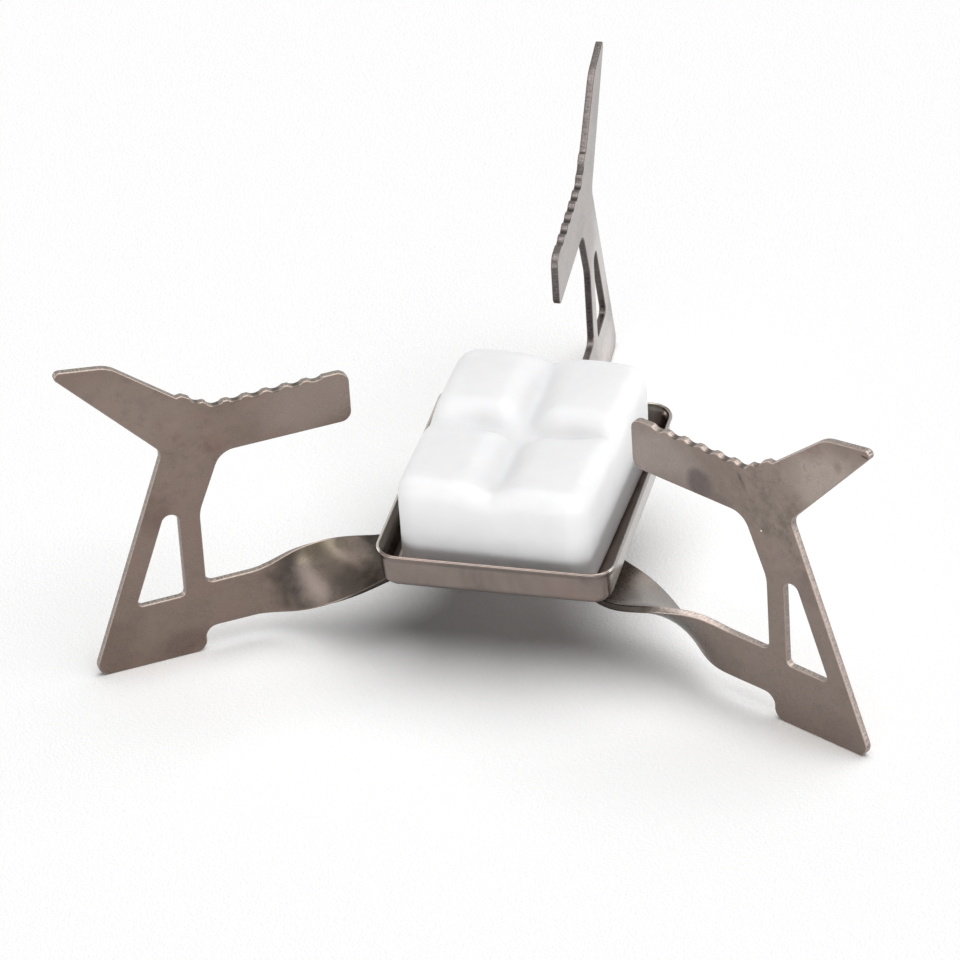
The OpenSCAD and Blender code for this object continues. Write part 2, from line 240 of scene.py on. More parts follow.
def grid_points(loops, step):
    """A triangular grid of points over the sheet, clear of its outlines."""
    low, high = np.min(loops[0], axis=0), np.max(loops[0], axis=0)
    rows = []
    for j, y in enumerate(np.arange(low[1], high[1], step*FACE_ROW)):
        rows += [(x + (j % 2)*step/2, y) for x in np.arange(low[0], high[0], step)]
    p = np.array(rows)
    p = p[in_sheet(p, loops)]
    return p[~near_line(p, loops, step*FACE_CLEAR)]


def make_object(name, verts_mm, faces, materials, face_material=None, sheet=None):
    """A smooth mesh from points in mm and faces. sheet is each point's place in the flat stamping."""
    mesh = bpy.data.meshes.new(name)
    points = [tuple(p) for p in np.asarray(verts_mm)*MM]
    mesh.from_pydata(points, [], [tuple(int(i) for i in f) for f in faces])
    mesh.validate()
    mesh.polygons.foreach_set("use_smooth", [True]*len(mesh.polygons))
    for m in materials:
        mesh.materials.append(m)
    if face_material is not None:
        mesh.polygons.foreach_set("material_index", face_material)
    if sheet is not None:
        layer = mesh.attributes.new("sheet", "FLOAT_VECTOR", "POINT")
        layer.data.foreach_set("vector", np.asarray(sheet, float).ravel())
    mesh.update()
    obj = bpy.data.objects.new(name, mesh)
    bpy.context.scene.collection.objects.link(obj)
    return obj


def sheet_solid(loops, thickness, place, name, materials):
    """A flat stamping with rounded cut edges, its faces in the first material and its cut in the second.
    loops are its closed outlines, the outer one counterclockwise and the holes clockwise. place turns
    (u, z, w) into a point."""
    t, b = thickness/2, CUT_R
    upper = [(b + CUT_RIM, t)]
    for k in range(CUT_STEPS + 1):
        a = math.pi/2*k/CUT_STEPS
        upper.append((b*(1 - math.sin(a)), t - b*(1 - math.cos(a))))
    band = (t - b)*CUT_BAND
    profile = upper + [(0.0, band), (0.0, -band)] + [(d, -w) for d, w in reversed(upper)]
    rings = [[inset(loop, d) for loop in loops] for d, _ in profile]
    top_points, tri = fill(rings[0], grid_points(rings[0], FACE_STEP))
    flat = [np.column_stack([top_points, np.full(len(top_points), t)])]
    for (_, w), ring in zip(profile[1:-1], rings[1:-1]):
        p = np.vstack(ring)
        flat.append(np.column_stack([p, np.full(len(p), w)]))
    flat.append(np.column_stack([top_points, np.full(len(top_points), -t)]))
    starts = np.cumsum([0] + [len(f) for f in flat])
    faces = [tuple(f) for f in tri] + [tuple(starts[-2] + f[::-1]) for f in tri]
    kinds = [0]*len(faces)
    last = len(flat) - 2
    for k in range(last + 1):
        base = 0
        for loop in loops:
            m = len(loop)
            for i in range(m):
                j = (i + 1) % m
                faces.append((starts[k] + base + i, starts[k + 1] + base + i,
                              starts[k + 1] + base + j, starts[k] + base + j))
                kinds.append(0 if k in (0, last) else 1)
            base += m
    flat = np.vstack(flat)
    # place mirrors the sheet, so each face is turned round to look outwards
    return make_object(name, place(flat), [f[::-1] for f in faces], materials, kinds, flat)


# Materials
def srgb(r, g, b):
    def lin(c):
        c /= 255
        return c/12.92 if c <= 0.04045 else ((c + 0.055)/1.055)**2.4
    return (lin(r), lin(g), lin(b), 1.0)


def scaled(tone, *factors):
    """The tone times one factor, or a factor for each channel."""
    factors = factors*3 if len(factors) == 1 else factors
    return tuple(min(1.0, c*k) for c, k in zip(tone, factors)) + (1.0,)


class Nodes:
    """A new material, with short hands for the nodes of its tree."""

    def __init__(self, name):
        self.material = bpy.data.materials.new(name)
        self.material.use_nodes = True
        self.tree = self.material.node_tree
        self.shader = self.tree.nodes["Principled BSDF"]

    def new(self, kind):
        return self.tree.nodes.new("ShaderNode" + kind)

    def link(self, source, target):
        self.tree.links.new(source, target)

    def place(self):
        """Object coordinates, in metres."""
        return self.new("TexCoord").outputs["Object"]

    def sheet(self):
        """Place in the flat stamping, (u, z, w) in mm."""
        source = self.new("Attribute")
        source.attribute_name = "sheet"
        return source.outputs["Vector"]

    def stretched(self, vector, scale):
        node = self.new("Mapping")
        node.inputs["Scale"].default_value = scale
        self.link(vector, node.inputs["Vector"])
        return node.outputs["Vector"]

    def split(self, vector):
        node = self.new("SeparateXYZ")
        self.link(vector, node.inputs[0])
        return node.outputs

    def noise(self, vector, scale, detail=3.0, roughness=0.6, distortion=0.0):
        node = self.new("TexNoise")
        node.inputs["Scale"].default_value = scale
        node.inputs["Detail"].default_value = detail
        node.inputs["Roughness"].default_value = roughness
        node.inputs["Distortion"].default_value = distortion
        self.link(vector, node.inputs["Vector"])
        return node.outputs["Fac"]

    def voronoi(self, vector, scale):
        node = self.new("TexVoronoi")
        node.inputs["Scale"].default_value = scale
        self.link(vector, node.inputs["Vector"])
        return node.outputs["Distance"]

    def ramp(self, value, stops):
        node = self.new("ValToRGB")
        elements = node.color_ramp.elements
        while len(elements) < len(stops):
            elements.new(0.5)
        for element, (at, colour) in zip(elements, stops):
            element.position = at
            element.color = colour
        self.link(value, node.inputs["Fac"])
        return node.outputs["Color"]

    def spread(self, value, source, target=(0.0, 1.0), smooth=False):
        """The value carried over from one range to another, and held at its ends."""
        node = self.new("MapRange")
        if smooth:
            node.interpolation_type = "SMOOTHSTEP"
        for key, v in zip(("From Min", "From Max", "To Min", "To Max"), (*source, *target)):
            node.inputs[key].default_value = v
        self.link(value, node.inputs["Value"])
        return node.outputs["Result"]

    def math(self, operation, *values):
        node = self.new("Math")
        node.operation = operation
        for socket, v in zip(node.inputs, values):
            if isinstance(v, (int, float)):
                socket.default_value = v
            else:
                self.link(v, socket)
        return node.outputs["Value"]

    def times(self, a, b):
        return self.math("MULTIPLY", a, b)

    def patch(self, at, size, turn=0.0, soft=0.6, wobble=None):
        """1 in an ellipse of the flat sheet and 0 outside it. at and size are (u, z) in mm."""
        node = self.new("Mapping")
        node.vector_type = "TEXTURE"
        node.inputs["Location"].default_value = (*at, 0)
        node.inputs["Rotation"].default_value = (0, 0, math.radians(turn))
        node.inputs["Scale"].default_value = (*size, 1000)
        self.link(self.sheet(), node.inputs["Vector"])
        length = self.new("VectorMath")
        length.operation = "LENGTH"
        self.link(node.outputs["Vector"], length.inputs[0])
        far = length.outputs["Value"]
        if wobble is not None:
            far = self.math("ADD", far, wobble)
        return self.spread(far, (1.0, 1.0 - soft), smooth=True)

    def over(self, base, colour, factor):
        """The colour laid over the base by the factor."""
        node = self.new("Mix")
        node.data_type = "RGBA"
        sockets = {s.identifier: s for s in node.inputs}
        self.link(factor, sockets["Factor_Float"])
        self.link(base, sockets["A_Color"])
        sockets["B_Color"].default_value = colour
        return [s for s in node.outputs if s.type == "RGBA"][0]

    def bump(self, height, strength, depth, normal=None):
        """A bump whose full height is depth, in mm."""
        node = self.new("Bump")
        node.inputs["Strength"].default_value = strength
        node.inputs["Distance"].default_value = depth*MM
        self.link(height, node.inputs["Height"])
        if normal is not None:
            self.link(normal, node.inputs["Normal"])
        return node.outputs["Normal"]

    def set(self, **values):
        for key, v in values.items():
            socket = self.shader.inputs[key.replace("_", " ")]
            if isinstance(v, (int, float, tuple)):
                socket.default_value = v
            else:
                self.link(v, socket)


def titanium_face(name, tone, stains_and_painted_light, mottling):
    """Tumbled titanium sheet: warm grey with soft mottling that is strongest about the neck and wing, small
    dark pits, a fine grain, and patches laid over it, partly marks of use and partly painted reflections and
    painted shade, each (colour, strength, middle, size, turn, softness)."""
    m = Nodes(name)
    v = m.place()
    broad = m.noise(v, 150, detail=4, distortion=0.4)
    mottle = m.noise(v, 560, detail=4, roughness=0.65, distortion=0.3)
    grain = m.noise(v, 3600)
    wobble = m.spread(m.noise(v, 260, detail=2, roughness=0.5), (0.25, 0.75), (-0.16, 0.16))
    neck_and_wing = m.patch((52.0, 37.0), (17.0, 17.0))
    busy = m.spread(neck_and_wing, (0.0, 1.0), (0.15, mottling))
    pitted = m.spread(m.noise(v, 300), (0.52, 0.64), (0.0, 0.6))
    pits = m.times(m.spread(m.voronoi(v, 900), (0.16, 0.05)), pitted)

    base = m.ramp(broad, [(0.34, scaled(tone, 0.90, 0.90, 0.88)), (0.5, tone),
                          (0.68, scaled(tone, 1.06, 0.99, 1.01))])
    base = m.over(base, scaled(tone, 1.5), m.spread(grain, (0.35, 0.68), (0.0, 0.16)))
    # Patches of colour, partly marks of use and partly painted reflections and painted shade
    for colour, strength, at, size, turn, soft in stains_and_painted_light:
        base = m.over(base, srgb(*colour), m.times(m.patch(at, size, turn, soft, wobble), strength))
    light_mottle = m.times(m.spread(mottle, (0.42, 0.7), (0.0, 0.7)), busy)
    base = m.over(base, scaled(tone, 1.34, 1.33, 1.30), light_mottle)
    dark_mottle = m.times(m.spread(mottle, (0.46, 0.25), (0.0, 0.6)), busy)
    base = m.over(base, scaled(tone, 0.70, 0.68, 0.68), dark_mottle)
    base = m.over(base, scaled(tone, 0.42), m.times(pits, busy))

    rough = m.spread(mottle, (0.3, 0.7), (0.25, 0.33))
    rough = m.math("ADD", rough, m.spread(grain, (0.3, 0.7), (-0.03, 0.03)))
    normal = m.bump(grain, 0.05, 0.04)
    m.set(Base_Color=base, Metallic=1.0, Roughness=rough, Normal=m.bump(mottle, 0.06, 0.12, normal))
    return m.material


def titanium_edge(name, tone):
    """A sheared edge: bright burnished bevels, and between them a darker torn band with fine speckles. It
    has painted shade near the hub, under the tray, and between the teeth."""
    m = Nodes(name)
    flat = m.sheet()
    u, _, w = m.split(flat)
    speckle = m.noise(flat, 3.4, roughness=0.65)
    streaks = m.noise(m.stretched(flat, (1, 1, 0.15)), 4.2)
    burnished = m.spread(m.math("ABSOLUTE", w), (0.32, 0.42), (0.0, 0.8), smooth=True)
    # Painted shade on the cut edges near the hub, under the tray
    painted_shade_by_the_hub = m.times(m.patch((15.0, 7.5), (15.0, 14.0), soft=0.2), 0.95)
    # Painted shade between the teeth of the rest
    turns = m.times(m.math("SUBTRACT", u, TOOTH_FIRST_U), 2*math.pi/TOOTH_PITCH)
    painted_valley_shade = m.spread(m.math("COSINE", turns), (0.0, 0.8), (0.0, 0.85))
    toothed_line = m.patch((36.0, REST_Z + 0.4), (12.0, 1.6), soft=0.3)

    base = m.ramp(streaks, [(0.32, scaled(tone, 0.72)), (0.5, tone), (0.66, scaled(tone, 1.25))])
    base = m.over(base, scaled(tone, 0.42), m.spread(speckle, (0.44, 0.36), (0.0, 0.7)))
    base = m.over(base, scaled(tone, 1.7), m.spread(speckle, (0.56, 0.66), (0.0, 0.7)))
    base = m.over(base, scaled(tone, 1.28, 1.22, 1.19), burnished)
    base = m.over(base, scaled(tone, 0.22, 0.21, 0.2), painted_shade_by_the_hub)
    base = m.over(base, scaled(tone, 0.3, 0.28, 0.27), m.times(painted_valley_shade, toothed_line))
    m.set(Base_Color=base, Metallic=1.0, Roughness=m.spread(speckle, (0.3, 0.7), (0.3, 0.46)),
          Normal=m.bump(speckle, 0.2, 0.08))
    return m.material


def tray_metal(name, tone, painted_reflection_walls):
    """Drawn titanium: like the legs, with faint marks that run up the wall. The walls in its last argument
    are painted lighter, a painted reflection, each (axis, where it starts and is full in mm from the rivet,
    strength, colour)."""
    m = Nodes(name)
    v = m.place()
    broad = m.noise(v, 140, detail=4, distortion=0.5)
    marks = m.noise(m.stretched(v, (1, 1, 0.35)), 900, detail=4, distortion=0.2)
    grain = m.noise(v, 5600, detail=2, roughness=0.5)
    along = m.split(v)

    base = m.ramp(broad, [(0.32, scaled(tone, 0.80)), (0.5, tone), (0.68, scaled(tone, 1.1, 0.99, 1.0))])
    base = m.over(base, scaled(tone, 1.22), m.spread(marks, (0.4, 0.7), (0.0, 0.4)))
    # Painted reflection: the walls listed are painted lighter than the rest of the tray
    for axis, reach, strength, colour in painted_reflection_walls:
        ends = [(HUB[axis] + r)*MM for r in reach]
        base = m.over(base, srgb(*colour), m.spread(along[axis], ends, (0.0, strength), smooth=True))
    normal = m.bump(grain, 0.05, 0.04)
    m.set(Base_Color=base, Metallic=1.0, Roughness=m.spread(marks, (0.3, 0.7), (0.17, 0.26)),
          Normal=m.bump(marks, 0.10, 0.10, normal))
    return m.material


def fuel_material():
    """A pressed white tablet: matt and slightly waxy, with a fine crystal grain."""
    m = Nodes("fuel_tablet")
    v = m.place()
    cloud = m.noise(v, 260, detail=4)
    grain = m.noise(v, 4200)
    crystals = m.voronoi(v, 2600)
    base = m.ramp(cloud, [(0.3, (0.76, 0.762, 0.772, 1)), (0.7, (0.79, 0.79, 0.795, 1))])
    m.set(Base_Color=base, Roughness=m.spread(grain, (0.3, 0.7), (0.5, 0.65)), IOR=1.45)
    m.set(Subsurface_Weight=0.6, Subsurface_Scale=4*MM, Subsurface_Radius=(1.0, 0.95, 0.9))
    m.set(Normal=m.bump(grain, 0.08, 0.05, m.bump(crystals, 0.05, 0.08)))
    return m.material


def steel_material():
    """Plain stainless steel of the rivet and washers."""
    m = Nodes("rivet_steel")
    v = m.place()
    grain = m.noise(v, 3000)
    broad = m.noise(v, 400)
    base = m.ramp(broad, [(0.3, (0.42, 0.41, 0.40, 1)), (0.7, (0.56, 0.55, 0.54, 1))])
    m.set(Base_Color=base, Metallic=1.0, Roughness=m.spread(grain, (0.3, 0.7), (0.24, 0.36)),
          Normal=m.bump(grain, 0.06, 0.04))
    return m.material


# Patches on the legs, partly marks of use and partly painted reflections and painted shade: (colour,
# strength, middle (u, z), size (u, z) in mm, turn in degrees, softness). Each lies over those before it
LEFT_STAINS_AND_PAINTED_LIGHT = [
    # Painted reflections: the lighter support end and wing; painted shade: the darker foot after them
    ((145, 132, 124), 0.8, (28.0, 36.5), (12.0, 6.5), 0, 0.7),
    ((138, 124, 116), 0.7, (56.0, 42.0), (14.0, 9.0), 20, 0.7),
    ((106, 92, 84), 0.5, (60.0, 5.0), (6.0, 7.0), 0, 0.8),
    ((104, 88, 83), 0.5, (49.0, 2.4), (5.0, 3.0), 0, 0.7),
    ((104, 87, 81), 0.5, (51.5, 24.5), (3.0, 5.5), 0, 0.7),
    ((118, 90, 82), 0.35, (42.5, 33.5), (2.6, 2.6), 0, 0.8),
    # The arm's twist: painted shade under the tray, and painted reflections as dark bands and lighter
    # patches, partly heat tint
    ((72, 65, 60), 0.85, (25.0, 7.5), (13.5, 12.0), 0, 0.4),
    ((36, 33, 30), 0.85, (18.5, 7.0), (9.5, 11.0), 0, 0.6),
    ((62, 58, 56), 0.75, (33.2, 8.6), (3.6, 8.0), -14, 0.9),
    ((66, 60, 57), 0.75, (32.4, 7.2), (3.0, 4.4), 0, 0.8),
    ((100, 92, 80), 0.8, (29.6, 10.8), (3.8, 2.6), 12, 0.6),
    ((78, 71, 67), 0.75, (30.5, 4.6), (6.0, 2.4), 0, 0.8),
    ((84, 77, 73), 0.5, (30.6, 6.8), (2.2, 4.0), -12, 0.9),
    ((106, 96, 87), 0.7, (28.0, 8.4), (2.6, 2.6), 0, 0.8),
    ((54, 49, 44), 0.6, (25.2, 10.8), (2.6, 2.4), 0, 0.8),
    ((48, 46, 38), 0.6, (26.2, 11.0), (0.9, 1.2), 30, 0.6),
]
RIGHT_STAINS_AND_PAINTED_LIGHT = [
    # Painted reflection: the lighter support end
    ((158, 147, 141), 0.8, (27.5, 36.0), (9.0, 6.0), 0, 0.7),
    ((117, 108, 100), 0.6, (46.5, 33.0), (6.0, 6.0), 0, 0.8),
    ((104, 96, 95), 0.85, (34.6, 33.8), (2.8, 2.9), 0, 0.5),
    ((110, 101, 99), 0.6, (38.0, 32.4), (3.0, 1.8), 0, 0.7),
    # Painted shade: the thin dark line of a crease
    ((84, 75, 70), 0.75, (41.9, 37.2), (2.3, 0.5), -62, 0.9),
    # Painted reflection: the lighter wing
    ((172, 160, 152), 0.8, (56.5, 43.0), (10.0, 6.5), 30, 0.7),
    ((112, 102, 98), 0.5, (58.4, 46.2), (1.1, 1.4), 0, 0.8),
    ((122, 107, 106), 0.45, (52.5, 24.5), (4.0, 4.5), 0, 0.7),
    ((112, 99, 93), 0.3, (59.0, 3.5), (7.0, 4.0), 0, 0.8),
    # Painted shade: a thin dark line along the top edge by the tip
    ((60, 54, 50), 0.8, (63.0, 49.7), (0.9, 0.22), -6, 0.7),
    # Painted glint: a tiny near-white spot
    ((245, 244, 242), 1.0, (44.9, 30.5), (0.2, 0.17), 0, 0.5),
    # The arm: painted reflection, pale as it leaves the plate, and painted shade, darker under the tray
    ((146, 142, 138), 0.85, (26.0, 7.5), (9.0, 9.0), 0, 0.6),
    ((100, 98, 96), 0.8, (14.0, 7.0), (6.0, 9.0), 0, 0.9),
]
REAR_STAINS_AND_PAINTED_LIGHT = [
    ((138, 130, 127), 0.6, (58.0, 44.0), (8.0, 6.0), 30, 0.7),
    ((134, 124, 121), 0.5, (40.0, 34.0), (5.0, 3.0), 0, 0.7),
    # Painted reflections: the lighter post and foot
    ((196, 191, 188), 0.85, (52.0, 17.0), (9.0, 15.0), 0, 0.6),
    ((200, 193, 189), 0.9, (55.0, 4.0), (10.0, 5.0), 0, 0.8),
]

# Finish of each leg: the tone of its faces, the tone of its cut edges, its patches of marks of use and
# painted light, and how mottled it is
LEG_FINISH = {
    "left_leg": (srgb(125, 111, 103), srgb(134, 125, 118), LEFT_STAINS_AND_PAINTED_LIGHT, 0.6),
    "right_leg": (srgb(130, 118, 111), srgb(142, 132, 126), RIGHT_STAINS_AND_PAINTED_LIGHT, 1.0),
    # The rear leg's face tone is partly a painted reflection, lighter than the others, and its edge tone
    # painted shade, darker
    "rear_leg": (srgb(150, 143, 140), srgb(98, 92, 90), REAR_STAINS_AND_PAINTED_LIGHT, 0.25),
}

# Painted reflections: the right, left and rear walls of the tray are painted lighter than its front,
# standing in for the light they reflect
TRAY_TONE = srgb(130, 119, 113)
PAINTED_REFLECTION_WALLS = [
    (0, (16.0, 16.3), 0.75, (172, 168, 165)),
    (0, (-15.7, -16.0), 0.75, (202, 197, 188)),
    (1, (20.0, 20.3), 0.6, (172, 168, 158)),
]
tray_surface = tray_metal("tray_titanium_surface", TRAY_TONE, PAINTED_REFLECTION_WALLS)
fuel_surface = fuel_material()
steel_surface = steel_material()

# Legs
# u runs outwards from the rivet, z upwards from the ground, and w through the sheet
FOOT_OUT, FOOT_IN, FOOT_R = 62.5, 45.8, 1.7
NOTCH_U, NOTCH_H = 46.2, 3.8
POST_IN, KINK_Z, KINK_R = 45.4, 23.0, 6.0
SUPPORT_LOW, THROAT_U, SUPPORT_IN = 32.0, 41.8, 22.8
SUPPORT_R, SUPPORT_TOP_R, THROAT_R = 1.5, 1.7, 3.0
WING_ROOT_U, KNEE_U, TIP_U = 47.2, 56.2, 65.0
WING_ROOT_RISE, KNEE_RISE, TIP_RISE = 2.3, 9.7, 11.0
WING_ROOT_R, KNEE_R, TIP_R = 0.45, 5.0, 0.75
NECK, NECK_R = (50.0, 34.2), 2.0
ARM_H, ARM_CORNER_R = 7.3, 1.3
ARM_MID_Z = NOTCH_H + ARM_H/2
HUB_W, EAR_R = 8.8, 5.2
EAR_STEPS, BORE_STEPS = 40, 32

# Places along the arm between which it turns upright, comes down from its ear, and narrows
TWIST_FROM, TWIST_TO = 17.5, 39.0
DROP_FROM = 22.0
NARROW_FROM, NARROW_TO = 32.0, 39.0

# Above this height all of the sheet is upright plate
PLATE_ABOVE_Z = 16.0

TOOTH_R, TOOTH_DEPTH, TOOTH_COUNT = 1.5, 0.4, 6
CREST_R, CREST_STEPS, SCALLOP_STEPS = 0.24, 4, 12
RAMP_TOP = np.array([WING_ROOT_U - 0.8, REST_Z + WING_ROOT_RISE + 0.1])
RAMP_FOOT = np.array([RAMP_TOP[0] - 4.0, REST_Z])
RAMP_R, RAMP_TOOTH = 0.25, 2.4
POST_BAND, HOLE_LOW_Z = 3.1, 9.9
HOLE_CORNER_R, HOLE_TOP_R = 0.8, 1.2
OUTLINE_STEP, ARM_STEP = 0.9, 0.7


def arm_half_width(u):
    return (HUB_W + (ARM_H - HUB_W)*ease_over(u, NARROW_FROM, NARROW_TO))/2


def toothed(corners, centres):
    """The line through corners with a scallop cut round each centre, in order along the line, and
    a small arc on every crest. The metal lies on the left of the line."""
    corners = [np.asarray(c, float) for c in corners]

    def crest(c, before):
        """The arc's centre, and the line's outward direction, on the stretch where the scallop round c
        begins or ends."""
        found = []
        for a, b in zip(corners, corners[1:]):
            along = unit(b - a)
            out = np.array([along[1], -along[0]])
            lift = (c - a) @ out + CREST_R
            if abs(lift) >= TOOTH_R + CREST_R:
                continue
            half = math.sqrt((TOOTH_R + CREST_R)**2 - lift**2)
            s = (c - a) @ along + (-half if before else half)
            if 0 <= s <= np.linalg.norm(b - a):
                found.append((a + along*s - out*CREST_R, out))
        return found[0 if before else -1]

    def turned_arc(centre, r, start, end, n):
        start, end = (math.atan2(d[1], d[0]) for d in (start, end))
        return arc(centre, r, start, short_turn(start, end), n)

    points = []
    for c in centres:
        first, out_a = crest(c, True)
        last, out_b = crest(c, False)
        points += turned_arc(first, CREST_R, out_a, c - first, CREST_STEPS)
        points += turned_arc(c, TOOTH_R, first - c, last - c, SCALLOP_STEPS)[1:-1]
        points += turned_arc(last, CREST_R, c - last, out_b, CREST_STEPS)
    return points


def leg_loops():
    """The flat leg's outline, its slot and its bore. The corners at the two ends of each open stretch only
    give its direction there."""
    arm_top = ARM_MID_Z + ARM_H/2
    right = rounded([
        (NOTCH_U, 0.0, 0), (FOOT_OUT, 0.0, FOOT_R), (*NECK, NECK_R), (TIP_U, REST_Z + TIP_RISE, TIP_R),
        (KNEE_U, REST_Z + KNEE_RISE, KNEE_R), (WING_ROOT_U, REST_Z + WING_ROOT_RISE, WING_ROOT_R),
        (*RAMP_TOP, RAMP_R), (*RAMP_FOOT, 0)
    ], closed=False)[1:-1]
    lift = TOOTH_R - TOOTH_DEPTH
    ramp_run = unit(RAMP_TOP - RAMP_FOOT)
    ramp_out = np.array([-ramp_run[1], ramp_run[0]])
    centres = [RAMP_FOOT + ramp_run*RAMP_TOOTH + ramp_out*lift]
    centres += [np.array([TOOTH_FIRST_U + i*TOOTH_PITCH, REST_Z + lift])
                for i in reversed(range(TOOTH_COUNT))]
    teeth = toothed([RAMP_TOP, RAMP_FOOT, (SUPPORT_IN, REST_Z)], centres)
    left = rounded([
        (SUPPORT_IN + 3, REST_Z, 0), (SUPPORT_IN, REST_Z, SUPPORT_TOP_R),
        (SUPPORT_IN, SUPPORT_LOW, SUPPORT_R), (THROAT_U, SUPPORT_LOW, THROAT_R), (POST_IN, KINK_Z, KINK_R),
        (POST_IN, arm_top, ARM_CORNER_R), (TWIST_TO, arm_top, 0)
    ], closed=False)[1:-1]
    joint = math.sqrt(EAR_R**2 - (HUB_W/2)**2)
    us = np.arange(TWIST_TO, joint, -ARM_STEP)
    upper = [np.array([u, ARM_MID_Z + arm_half_width(u)]) for u in us]
    ear_from = math.atan2(HUB_W/2, joint)
    ear = [np.array([EAR_R*math.cos(t), ARM_MID_Z + EAR_R*math.sin(t)])
           for t in np.linspace(ear_from, 2*math.pi - ear_from, EAR_STEPS + 1)]
    lower = [np.array([u, ARM_MID_Z - arm_half_width(u)]) for u in us[::-1]]
    foot = rounded([
        (TWIST_TO, NOTCH_H, 0), (NOTCH_U, NOTCH_H, FOOT_R), (FOOT_IN, 0.0, FOOT_R), (FOOT_OUT, 0.0, 0)
    ], closed=False)[1:-1]
    outer = cleaned(right + teeth + left + upper + ear + lower + foot)

    run = unit(np.array(NECK) - np.array([FOOT_OUT, 0]))
    hole_in = POST_IN + POST_BAND
    hole_out = FOOT_OUT + HOLE_LOW_Z*run[0]/run[1] - POST_BAND/run[1]
    apex = (hole_in + POST_BAND/run[1] - FOOT_OUT)*run[1]/run[0]
    slot = rounded([
        (hole_in, HOLE_LOW_Z, HOLE_CORNER_R), (hole_in, apex, HOLE_TOP_R),
        (hole_out, HOLE_LOW_Z, HOLE_CORNER_R)
    ])
    bore = [np.array([HOLE_R*math.cos(t), ARM_MID_Z + HOLE_R*math.sin(t)])
            for t in np.linspace(0, -2*math.pi, BORE_STEPS + 1)[:-1]]
    return [np.array(subdivided(outer, OUTLINE_STEP)), np.array(subdivided(cleaned(slot), OUTLINE_STEP)),
            np.array(bore)]


def leg_place(angle, level, offset, shift):
    """The function that twists the flat leg and puts it at its angle and level in the stack. Its plate
    stands aside by offset, which the arm takes up between the two places of shift."""
    ear_mid = EAR_LOW_Z + level*(PLATE_T + RUN_GAP) + PLATE_T/2
    a = math.radians(angle)

    def place(flat):
        u, z, w = flat[:, 0], flat[:, 1], flat[:, 2]
        plate = (u >= TWIST_TO) | (z > PLATE_ABOVE_Z)
        turn = np.where(plate, math.pi/2, math.pi/2*ease_over(u, TWIST_FROM, TWIST_TO))
        s = z - ARM_MID_Z
        mid_z = np.where(plate, ARM_MID_Z, ear_mid + (ARM_MID_Z - ear_mid)*ease_over(u, DROP_FROM, TWIST_TO))
        mid_y = np.where(plate, -offset, -offset*ease_over(u, *shift))
        y = mid_y - s*np.cos(turn) + w*np.sin(turn)
        return np.column_stack([HUB[0] + u*math.cos(a) - y*math.sin(a),
                                HUB[1] + u*math.sin(a) + y*math.cos(a),
                                mid_z + s*np.sin(turn) + w*np.cos(turn)])
    return place


# Stance of each leg: its angle, its level in the stack, its offset, and where the arm takes that up
LEGS = {
    "left_leg": (REAR_ANGLE + LEG_SPACING, 2, 5.2, (22.0, 39.0)),
    "right_leg": (REAR_ANGLE - LEG_SPACING, 0, 3.1, (1.0, 25.0)),
    "rear_leg": (REAR_ANGLE, 1, 1.0, (1.0, 25.0)),
}
loops = leg_loops()
for node, stance in LEGS.items():
    tone, edge_tone, stains_and_painted_light, mottling = LEG_FINISH[node]
    finish = [titanium_face(node + "_titanium", tone, stains_and_painted_light, mottling),
              titanium_edge(node + "_cut_edge", edge_tone)]
    leg = sheet_solid(loops, PLATE_T, leg_place(*stance), node + "_sheet", finish)
    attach(leg, node)
    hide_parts(node)

# Tray
TRAY_W, TRAY_L, TRAY_H = 33.6, 42.2, 5.6
CORNER_R, EDGE_R = 3.4, 1.5
CORNER_STEPS, SIDE_STEPS = 12, 9
LEAN, LIP_OUT, LIP_H = 0.4, 0.35, 0.8
LIP_BEND_R, LIP_IN_R, LIP_OUT_R, LIP_TOP_R = 1.2, 0.5, 0.3, 0.24
DISH_R, DISH_SLOPE, DISH_BEND_R = 5.6, 1.2, 0.9
LIP_BEND_H, LIP_OUT_H, LIP_IN_H = 0.25, 0.33, 0.42

# The section's slight lean, where its floor begins, and the flat round the dish
DRAFT, FLOOR_START, DISH_RIM = 0.02, 0.9, 1.4


def tray_section():
    """The wall's section, from the floor's underside out and up over the lip and back down inside,
    as (distance from a corner's centre, height)."""
    wall_out = CORNER_R - LIP_OUT
    wall_low = wall_out - LEAN
    lip_low = TRAY_H - LIP_H - LIP_BEND_H
    lip_in = CORNER_R - TRAY_T
    under = rounded([
        (FLOOR_START, 0, 0), (wall_low + DRAFT, 0, EDGE_R), (wall_out, lip_low, LIP_BEND_R),
        (CORNER_R, TRAY_H - LIP_OUT_H, LIP_OUT_R), (CORNER_R - DRAFT, TRAY_H, LIP_TOP_R),
        (lip_in, TRAY_H, LIP_TOP_R), (lip_in + DRAFT, TRAY_H - LIP_IN_H, LIP_IN_R),
        (wall_out - TRAY_T, lip_low, LIP_BEND_R),
        (wall_low - TRAY_T + DRAFT, TRAY_T, EDGE_R - TRAY_T), (FLOOR_START, TRAY_T, 0)
    ], closed=False)
    return cleaned([np.array(p) for p in under])


